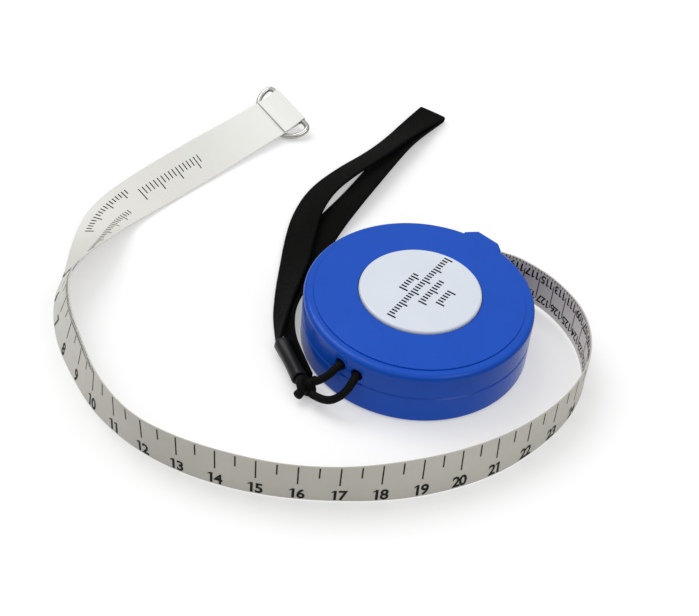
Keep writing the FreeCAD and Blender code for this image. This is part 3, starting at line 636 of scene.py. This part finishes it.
@functools.cache
def digit_shape(digit, bold):
    """Points and faces of one digit, as a thin solid about 1 high."""
    data = bpy.data.curves.new("digits", "FONT")
    data.body, data.align_x = digit, "CENTER"
    data.offset, data.resolution_u, data.extrude = bold, 4, 0.01
    thing = bpy.data.objects.new("digits", data)
    scene.collection.objects.link(thing)
    mesh = evaluated_mesh(thing)
    points = [v.co.copy() for v in mesh.vertices]
    faces = [tuple(polygon.vertices) for polygon in mesh.polygons]
    bpy.data.meshes.remove(mesh)
    return points, faces


def ink_number(bm, place, text, x, y, size, turned=False):
    """Digits as thin ink, x and y being the middle of their foot. A 1 gets a flag at its top."""
    height, squeeze, bold = size
    sense = -1 if turned else 1
    cell = 0.60 * height * squeeze
    for index, digit in enumerate(text):
        shift = (index - (len(text) - 1) / 2) * cell
        points, faces = digit_shape(digit, bold)
        scale = height / max(point.y for point in points)
        made = [bm.verts.new(place(x + sense * (point.x * scale * squeeze + shift),
                                   y + sense * point.y * scale, INK_THICK if point.z > 0 else 0))
                for point in points]
        for face in faces:
            bm.faces.new([made[i] for i in face])
        if digit == "1":
            foot, head = [[bm.verts.new(place(x + sense * (u * height * squeeze + shift),
                                              y + sense * v * height, lift))
                           for u, v in FLAG] for lift in (0, INK_THICK)]
            bm.faces.new(foot[::-1])
            bm.faces.new(head)
            bridge(bm, foot, head)


def front(x, y, lift):
    """A point on the printed face: x along the strip, y up from the middle of its width."""
    return tape.at(x, y, FACE_LIFT + lift)


def back(x, y, lift):
    """The same on the reverse face."""
    return tape.at(x, y, -FACE_LIFT - lift)


def front_mirrored(middle):
    """For the digits on the front, which read from the far end towards the mouth."""
    return lambda x, y, lift: front(2 * middle - x, y, lift)


def cross_line(bm, place, x, width, start, end):
    """A line of ink across the strip."""
    ink_bar(bm, place, x - width / 2, x + width / 2, start, end)


def front_scale(bm):
    """Lines at each half centimetre, a number at each whole one, and tenths near the leader."""
    for half in HALVES:
        x = run_of(half / 2)
        whole = half % 2 == 0
        reach = (0.54 if whole else 0.33) * TAPE_WIDTH
        cross_line(bm, front, x, LINE_WIDTH, HALF - 0.5 * MM, HALF - reach)
        if whole:
            foot = HALF - 0.95 * TAPE_WIDTH
            ink_number(bm, front_mirrored(x), str(half // 2), x, foot, FRONT_DIGITS)
    for tenth in TENTHS:
        if tenth % 5:
            cross_line(bm, front, run_of(tenth / 10), FINE_WIDTH, HALF - 0.2 * MM, HALF - 1.8 * MM)


def leader(bm):
    """Plain tick rows on the leader, in place of wording."""
    for first, last, foot, height, pitch in LEADER_ROWS:
        for index in range(int((last - first) / pitch)):
            x = mouth_run + (first + index * pitch) * MM
            tall = height if index % 5 == 0 else height * 0.6
            cross_line(bm, front, x, LEADER_WIDTH, foot * MM, (foot + tall) * MM)


def back_scale(bm):
    """The reverse face, upside down: a coarse row, a fine row, and a line between each pair."""
    for index in range(BACK_COUNT):
        x = mouth_run + BACK_START + index * BACK_PITCH
        cross_line(bm, back, x, BACK_WIDTH, HALF - 2.3 * MM, -HALF + 2.7 * MM)
        middle = x + BACK_PITCH / 2
        for number, foot in ((BACK_COARSE - index, -HALF + 4.5 * MM),
                             (BACK_FINE - 2 * index, HALF - 1.4 * MM)):
            ink_number(bm, back, str(number), middle, foot, BACK_DIGITS, turned=True)
        for tick in range(5):
            reach = 1.2 * MM if tick == 0 else 0.9 * MM
            cross_line(bm, back, x + tick * BACK_PITCH / 5, BACK_FINE_WIDTH,
                       HALF - 0.2 * MM, HALF - reach)


def tape_print():
    bm = bmesh.new()
    front_scale(bm)
    leader(bm)
    back_scale(bm)
    return finished_solid("tape_print", bm, INK)


print_piece = tape_print()

for piece in (tape_piece, fold_piece, print_piece):
    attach(piece, "tape")
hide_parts("tape_blade")
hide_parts("tape_end_loop")


# ---------------------------------------------------------------- strap

# The outer layer's tip bends down onto the inner one's.
TIP_DROP = 1.15 * MM
TIP_STEPS = 12
CROWN = 0.05 * MM


def webbing_piece(name, route, bent_tip=False):
    strip = Strip(route)
    middle, across, outward = list(strip.middle), list(strip.across), list(strip.outward)
    runs, widths = list(strip.run), list(strip.width)
    if bent_tip:
        heading, down = Vector(strip.heading[-1]), -UP
        bend = TIP_DROP / 2
        centre = Vector(middle[-1]) + down * bend
        for step in range(1, TIP_STEPS + 1):
            turn = math.pi * step / TIP_STEPS
            middle.append(centre + heading * bend * math.sin(turn) - down * bend * math.cos(turn))
            across.append(across[-1])
            outward.append(heading * math.sin(turn) - down * math.cos(turn))
            runs.append(runs[-1] + bend * math.pi / TIP_STEPS)
            widths.append(widths[-1])
    outlines = [section(width, WEBBING_THICK, 12, CROWN) for width in widths]
    return strip, swept(name, middle, across, outward, outlines, runs, LOOKS["strap_fabric"])


outer_strip, outer_piece = webbing_piece("strap_outer", OUTER_WEBBING, bent_tip=True)
inner_strip, inner_piece = webbing_piece("strap_inner", INNER_WEBBING)


SLEEVE_OUTSIDE = 2.15 * MM
SLEEVE_INSIDE = 1.62 * MM
SLEEVE_LIP = 0.30 * MM
SLEEVE_BEVEL = 0.10 * MM
SLEEVE_WAIST = 0.16 * MM
SLEEVE_MOUTH = 1.6 * MM
SLEEVE_SIDES = 40


def sleeve():
    """The pressed sleeve over both layers: rounded lips, a slight waist and an open bore."""
    heading = FERRULE_END - FERRULE_START
    length = heading.length
    heading.normalize()
    side = heading.cross(UP).normalized()
    top = side.cross(heading)
    lip = [(0.0, SLEEVE_INSIDE), (0.0, SLEEVE_OUTSIDE - SLEEVE_LIP),
           (SLEEVE_BEVEL, SLEEVE_OUTSIDE - SLEEVE_BEVEL), (SLEEVE_LIP, SLEEVE_OUTSIDE)]
    shares = [step / 12 for step in range(1, 12)]
    waist = [(length * share, SLEEVE_OUTSIDE - SLEEVE_WAIST * math.sin(math.pi * share) ** 2)
             for share in shares]
    far_lip = [(length - along, radius) for along, radius in reversed(lip)]
    bore = [(length - SLEEVE_MOUTH, SLEEVE_INSIDE - SLEEVE_BEVEL),
            (SLEEVE_MOUTH, SLEEVE_INSIDE - SLEEVE_BEVEL)]
    bm = bmesh.new()
    rings = []
    for along, radius in lip + waist + far_lip + bore:
        ring = []
        for k in range(SLEEVE_SIDES):
            turn = 2 * math.pi * k / SLEEVE_SIDES
            dent = 1.0 - 0.045 * math.cos(2 * turn) - 0.02 * math.cos(5 * turn + along / MM * 0.3)
            spoke = side * math.cos(turn) + top * math.sin(turn)
            ring.append(bm.verts.new(FERRULE_START + heading * along + spoke * radius * dent))
        rings.append(ring)
    for first, second in zip(rings, rings[1:] + rings[:1]):
        bridge(bm, first, second)
    return finished_solid("strap_sleeve", bm, LOOKS["ferrule_plastic"], rounded=True)


KNOT_SCALE = 0.76 * MM
KNOT_STEPS = 96
KNOT_VOXEL = 0.14 * MM
# The cut end: shares of the way to the tail, and the cord's radius there in millimetres.
KNOT_END = ((0.2, 1.0), (0.45, 1.05), (0.7, 1.2), (0.95, 1.3), (1.08, 1.1), (1.14, 0.6))
# Radii of the neck towards the sleeve, in millimetres.
KNOT_NECK = (1.9, 1.6, 1.5, 1.35)


def knot():
    """An overhand knot pulled tight, with the cut end of the cord beside it."""
    heading = (FERRULE_START - KNOT).normalized()
    tilt = heading.to_track_quat("Z", "Y").to_matrix()
    loop = []
    for step in range(KNOT_STEPS):
        t = 2 * math.pi * step / KNOT_STEPS
        local = Vector((math.sin(t) + 2 * math.sin(2 * t), math.cos(t) - 2 * math.cos(2 * t),
                        -1.25 * math.sin(3 * t)))
        loop.append(KNOT_MIDDLE + tilt @ (local * KNOT_SCALE))
    reach = KNOT_TAIL - KNOT_MIDDLE
    tail = [KNOT_MIDDLE + reach * share for share, _ in KNOT_END]
    neck = [KNOT, KNOT + (FERRULE_START - KNOT) * 0.55, FERRULE_START,
            FERRULE_START + heading * 0.8 * MM]
    pieces = [
        tube_mesh("knot_loop", loop, CORD_RADIUS * 0.98, CORD_LOOK, closed=True),
        tube_mesh("knot_end", tail, [radius * MM for _, radius in KNOT_END], CORD_LOOK),
        tube_mesh("knot_neck", neck, [radius * MM for radius in KNOT_NECK], CORD_LOOK),
    ]
    made = join_meshes("knot_rough", pieces, CORD_LOOK)
    remesh = made.modifiers.new("remesh", "REMESH")
    remesh.mode, remesh.voxel_size, remesh.use_smooth_shade = "VOXEL", KNOT_VOXEL, True
    relax = made.modifiers.new("relax", "SMOOTH")
    relax.factor, relax.iterations = 0.5, 3
    mesh = evaluated_mesh(made)
    smooth(mesh)
    return link_mesh("strap_tie_knot", mesh, CORD_LOOK)


def tie_cord(places):
    """The round cord through the two holes in the case: its line is its own NURBS curve."""
    made = smooth_curve("strap_tie_cord", places, 14)
    made.data.bevel_depth, made.data.bevel_resolution = CORD_RADIUS, 6
    made.data.use_fill_caps = True
    made.data.materials.append(CORD_LOOK)
    return made


sleeve_piece = sleeve()
knot_piece = knot()
cord_places = [Vector(place) * MM for place in CORD_ROUTE]
cord_piece = tie_cord(cord_places)
cord_line = smooth_line(cord_places)

for piece, node in ((outer_piece, "strap_webbing_outer"), (inner_piece, "strap_webbing_inner"),
                    (sleeve_piece, "strap_ferrule"), (knot_piece, "strap_knot")):
    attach(piece, "strap")
    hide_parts(node)
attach(cord_piece, "case")
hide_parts("strap_cord")


# ---------------------------------------------------------------- button print

# Middle of each row on the button's face and its length, in millimetres.
BUTTON_ROWS = ((-0.1, 0.7, 29.0), (-2.8, 2.3, 8.4), (3.1, -0.9, 11.8), (6.5, -2.6, 7.0))
BUTTON_TURN = math.radians(59.7)
ROW_PITCH = 1.1
ROW_TICK = 0.52 * MM
ROW_FOOT = -1.2 * MM
ROW_TALL, ROW_SHORT = 2.5 * MM, 1.6 * MM


def button_print():
    """Plain tick rows on the button, in place of wording."""
    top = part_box("push_button")[1].z + INK_GAP
    along = Vector((math.cos(BUTTON_TURN), math.sin(BUTTON_TURN), 0))
    across = Vector((math.sin(BUTTON_TURN), -math.cos(BUTTON_TURN), 0))
    bm = bmesh.new()
    for x, y, length in BUTTON_ROWS:
        middle = Vector((x, y, 0)) * MM

        def place(u, v, lift):
            return middle + along * u + across * v + UP * (top + lift)

        count = int(length / ROW_PITCH)
        for index in range(count):
            u = (index - (count - 1) / 2) * ROW_PITCH * MM
            tall = ROW_TALL if index % 5 == 0 else ROW_SHORT
            cross_line(bm, place, u, ROW_TICK, ROW_FOOT, ROW_FOOT + tall)
    return finished_solid("button_print", bm, INK)


SPRING_RADIUS = 3.7 * MM
SPRING_WIRE = 0.25 * MM
SPRING_TURNS = 3
SPRING_STEPS = 32


def return_spring():
    """The button's coil spring, a wire helix over the height of the model's spring, which it replaces.
    """
    low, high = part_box("button_spring")
    foot, head = low.z + SPRING_WIRE, high.z - SPRING_WIRE
    count = SPRING_TURNS * SPRING_STEPS
    line = []
    for step in range(count + 1):
        turn = 2 * math.pi * step / SPRING_STEPS
        line.append((SPRING_RADIUS * math.cos(turn), SPRING_RADIUS * math.sin(turn),
                     foot + (head - foot) * step / count))
    made = tube_mesh("return_spring", line, SPRING_WIRE, LOOKS["spring_steel"], sides=12)
    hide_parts("button_spring")
    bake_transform(made)


button_marks = button_print()
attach(button_marks, "button")
return_spring()


# ---------------------------------------------------------------- CAD pieces

SLOT_OF = {
    "front_cover": "case_plastic", "rear_cover": "case_plastic", "case_screws": "screw_steel",
    "push_button": "button_plastic", "button_spring": "spring_steel", "brake_spider": "inner_plastic",
    "brake_pad": "brake_rubber", "stem_clip": "spring_steel", "spring_arbor": "inner_plastic",
    "reel_drum": "inner_plastic", "reel_lid": "inner_plastic", "thrust_washer": "inner_plastic",
    "arbor_clip": "spring_steel", "main_spring": "spring_steel", "tape_coil": "tape_cloth",
    "end_ring": "ring_chrome",
}
for node, slot_name in SLOT_OF.items():
    mesh = nodes[node].data
    mesh.materials.clear()
    mesh.materials.append(LOOKS[slot_name])


# ---------------------------------------------------------------- floor and light

FLOOR_Z = -0.2 * MM
FLOOR_GLOW = 0.36
SKY_LOW, SKY_HIGH = 0.06, 1.16


def pale_floor():
    s = Shader("pale_floor")
    s.colour(s.mixed(s.ramp(s.noise(3, 2), 0.3, 0.7, 0, 1), (0.50, 0.50, 0.50), (0.52, 0.52, 0.52)))
    s.set(Roughness=0.9, Specular_IOR_Level=0.1, Emission_Color=(1, 1, 1, 1),
          Emission_Strength=FLOOR_GLOW)
    bm = bmesh.new()
    bmesh.ops.create_grid(bm, x_segments=1, y_segments=1, size=4)
    floor = finished("floor", bm, s.material)
    floor.location.z = FLOOR_Z


def area_light(name, place, target, size, power):
    data = bpy.data.lights.new(name, "AREA")
    data.shape, data.size, data.energy = "DISK", size, power
    light = bpy.data.objects.new(name, data)
    light.location = place
    light.rotation_euler = (Vector(target) - Vector(place)).to_track_quat("-Z", "Y").to_euler()
    scene.collection.objects.link(light)


def studio_sky(tree):
    """White overhead and grey towards the horizon, so that upright faces keep their depth."""
    background = tree.nodes["Background"]
    coordinates = tree.nodes.new("ShaderNodeTexCoord")
    parts = tree.nodes.new("ShaderNodeSeparateXYZ")
    height = tree.nodes.new("ShaderNodeMapRange")
    for socket, value in (("From Min", 0.0), ("From Max", 0.8),
                          ("To Min", SKY_LOW), ("To Max", SKY_HIGH)):
        height.inputs[socket].default_value = value
    tree.links.new(coordinates.outputs["Generated"], parts.inputs["Vector"])
    tree.links.new(parts.outputs["Z"], height.inputs["Value"])
    tree.links.new(height.outputs["Result"], background.inputs["Strength"])
    background.inputs["Color"].default_value = (1, 1, 1, 1)


pale_floor()
world = bpy.data.worlds.new("studio")
world.use_nodes = True
studio_sky(world.node_tree)
scene.world = world
scene.view_settings.view_transform = "Standard"
area_light("key", (-1.2, 1.0, 2.4), (0, 0, 0), 2.0, 32.0)
area_light("fill", (1.5, -1.5, 2.0), (0, 0, 0), 1.4, 12.0)
